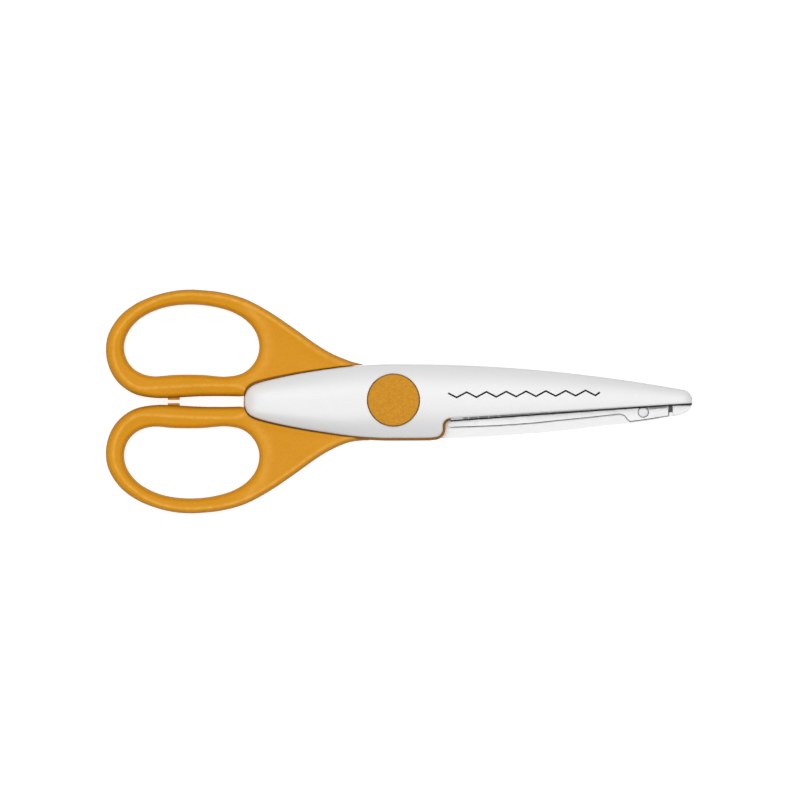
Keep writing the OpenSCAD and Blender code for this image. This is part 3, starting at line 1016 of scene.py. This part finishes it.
def steel(name, tone, rough, along, metallic=1.0):
    """Brushed steel, with its streaks drawn out by along."""
    m = Nodes(name)
    streaks = m.noise(0.16, 3, stretch=along)
    color = m.blend(m.spread(streaks, 0, 1, 0.2, 0.8), tuple(0.86 * t for t in tone), tone)
    brushed = m.bump(streaks, 0.12, 0.02)
    uneven = m.spread(m.noise(2.5, 3), rough - 0.01, rough + 0.02)
    return m.set(Base_Color=color, Metallic=metallic, Roughness=uneven, Normal=brushed)


def ink():
    m = Nodes("printed_line")
    color = m.blend(m.spread(m.noise(0.25, 3), 0, 1), (0.004, 0.004, 0.0045), (0.012, 0.012, 0.0125))
    return m.set(Base_Color=color, Roughness=m.spread(m.noise(0.4, 2), 0.5, 0.65), Specular_IOR_Level=0.15)


def nylon():
    m = Nodes("washer_plastic")
    color = m.blend(m.spread(m.noise(3, 2), 0, 1), (0.72, 0.71, 0.66), (0.78, 0.77, 0.72))
    return m.set(Base_Color=color, Roughness=m.spread(m.noise(0.5, 2), 0.4, 0.5))


# ---------- building ----------

materials = {
    "orange_plastic": orange_plastic(),
    "cap_plastic": cap_plastic(),
    "white_plastic": white_plastic(),
    "blade_steel": steel("blade_steel", (0.49, 0.49, 0.495), 0.44, (14, 1, 1), 0.5),
    # Near-black steel: painted shade in the gaps along the cutting edge, the outer border and the step.
    "painted_shade_steel": steel("painted_shade_steel", (0.035, 0.035, 0.036), 0.4, (1, 6, 1)),
    "rivet_steel": steel("rivet_steel", (0.30, 0.30, 0.305), 0.4, (1, 1, 1)),
    "pivot_steel": steel("pivot_steel", (0.5, 0.5, 0.52), 0.36, (1, 1, 6)),
    "washer_plastic": nylon(),
    "printed_line": ink(),
}


def finish_piece(obj, body, slot, *nodes):
    """Gives a piece its material, body and slot, and the CAD nodes that it replaces."""
    obj.data.materials.clear()
    obj.data.materials.append(materials[slot])
    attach(obj, body)
    if nodes:
        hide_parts(*nodes)


def darken_grind(obj, turn, trim):
    """Paints shade with a near-black steel on the ground face along the cutting edge, the step behind the tab
    and the outer border: a painted shadow of the gaps beside them.
    """
    obj.data.materials.append(materials["painted_shade_steel"])
    grind_w, border_w, slack = 0.4, 0.12, 0.01
    for face in obj.data.polygons:
        c = face.center / MM
        y = -c.y if turn else c.y
        above = -face.normal.z if turn else face.normal.z
        grind = c.x > NOTCH_X and y < cut_y(c.x) + grind_w and above > 0.1
        step = STEP[0] - slack < c.x < STEP[1] + slack and y > TAB_SIDE + 0.1
        border = c.x > NOTCH_X + 1 and y > border_y(c.x, trim) - border_w
        if grind or step or border:
            face.material_index = 1


def build_half(side, turn):
    """All the pieces of one half."""
    body = f"{side}_half"
    under = REAR_UNDER if turn else FRONT_UNDER
    trim = 0.0 if turn else 0.9
    shell = place(half_shell("shell", under, 0.35 if turn else 0.0, trim), f"{side}_shell_visual", turn)
    finish_piece(shell, body, "white_plastic", f"{side}_shell")
    handle = place(half_handle("handle", 0.0 if turn else RIM), f"{side}_handle_visual", not turn)
    finish_piece(handle, body, "orange_plastic", f"{side}_handle")
    blade = place(half_blade("blade", -1 if turn else 1, trim), f"{side}_blade_visual", turn)
    finish_piece(blade, body, "blade_steel", f"{side}_blade")
    darken_grind(blade, turn, trim)
    studs = place(rivets("rivets"), f"{side}_rivets_visual", turn)
    finish_piece(studs, body, "rivet_steel", f"{side}_blade_rivets")
    cap = place(half_cap("cap"), f"{side}_cap_visual", turn)
    finish_piece(cap, body, "orange_plastic", f"{side}_cap")
    cap.data.materials[0] = materials["cap_plastic"]


build_half("front", False)
build_half("rear", True)
print_line = place(zigzag("zigzag"), "front_printed_line", False)
finish_piece(print_line, "front_half", "white_plastic")
print_line.data.materials[0] = materials["printed_line"]

for node, slot in (
    ("pivot_bush", "pivot_steel"), ("pivot_screw", "pivot_steel"), ("pivot_nut", "pivot_steel"),
    ("spring_washer", "pivot_steel"), ("thrust_washer", "washer_plastic"),
):
    cad = frame["nodes"][node]
    cad.data.materials.clear()
    cad.data.materials.append(materials[slot])

# ---------- floor, light and camera ----------


def floor():
    """A plain white floor, which glows a little so that no shadow turns it grey."""
    mesh = bpy.data.meshes.new("floor")
    size, below, glow = 3.0, 0.0001, 0.8
    corners = [(-size, -size, 0), (size, -size, 0), (size, size, 0), (-size, size, 0)]
    mesh.from_pydata(corners, [], [(0, 1, 2, 3)])
    obj = bpy.data.objects.new("floor", mesh)
    bpy.context.scene.collection.objects.link(obj)
    obj.location.z = -below
    m = Nodes("floor")
    color = m.blend(m.spread(m.noise(400, 2), 0, 1), (0.29, 0.29, 0.29), (0.31, 0.31, 0.31))
    m.set(Base_Color=color, Roughness=0.9)
    m.shader.inputs["Emission Color"].default_value = (1, 1, 1, 1)
    m.shader.inputs["Emission Strength"].default_value = glow
    obj.data.materials.append(m.mat)


def world():
    """A soft dome: brightest overhead and dim at the horizon."""
    lean, brightness = 5.0, 5.0
    w = bpy.data.worlds.new("studio")
    bpy.context.scene.world = w
    w.use_nodes = True
    tree = w.node_tree
    back = tree.nodes["Background"]
    coord = tree.nodes.new("ShaderNodeTexCoord")
    split = tree.nodes.new("ShaderNodeSeparateXYZ")
    ramp = tree.nodes.new("ShaderNodeValToRGB")
    stops = ((0.0, 0.0), (0.4, 0.02), (0.7, 0.06), (0.88, 0.14), (0.95, 0.85), (1.0, 1.0))
    while len(ramp.color_ramp.elements) < len(stops):
        ramp.color_ramp.elements.new(0.5)
    for element, (at, level) in zip(ramp.color_ramp.elements, stops):
        element.position = at
        element.color = (level, level, level, 1)
    tilt = tree.nodes.new("ShaderNodeMapping")
    tilt.inputs["Rotation"].default_value = (math.radians(lean), 0, 0)
    tree.links.new(coord.outputs["Generated"], tilt.inputs["Vector"])
    tree.links.new(tilt.outputs["Vector"], split.inputs["Vector"])
    tree.links.new(split.outputs["Z"], ramp.inputs["Fac"])
    tree.links.new(ramp.outputs["Color"], back.inputs["Color"])
    back.inputs["Strength"].default_value = brightness


def softbox(name, at, size, power):
    """A rectangular lamp that faces the pivot."""
    light = bpy.data.lights.new(name, "AREA")
    light.shape = "RECTANGLE"
    light.size, light.size_y = size
    light.energy = power
    obj = bpy.data.objects.new(name, light)
    bpy.context.scene.collection.objects.link(obj)
    obj.location = at
    obj.rotation_euler = obj.location.to_track_quat("Z", "Y").to_euler()


def camera():
    """A camera straight above, far enough away for the photo's flat view."""
    view_w, away = 0.2249, 2.0
    aim_x, aim_y, aim_z = 0.00169, 0.00042, 0.7 * ALL_HI[2] * MM
    data = bpy.data.cameras.new("camera")
    data.sensor_width = 36
    data.lens = 36 * away / view_w
    data.clip_end = 10
    obj = bpy.data.objects.new("camera", data)
    bpy.context.scene.collection.objects.link(obj)
    obj.location = (aim_x, aim_y, aim_z + away)
    bpy.context.scene.camera = obj


floor()
softbox("key", (-0.1, 0.3, 1.2), (0.25, 0.12), 0.5)
world()
camera()
bpy.context.scene.view_settings.view_transform = "Standard"
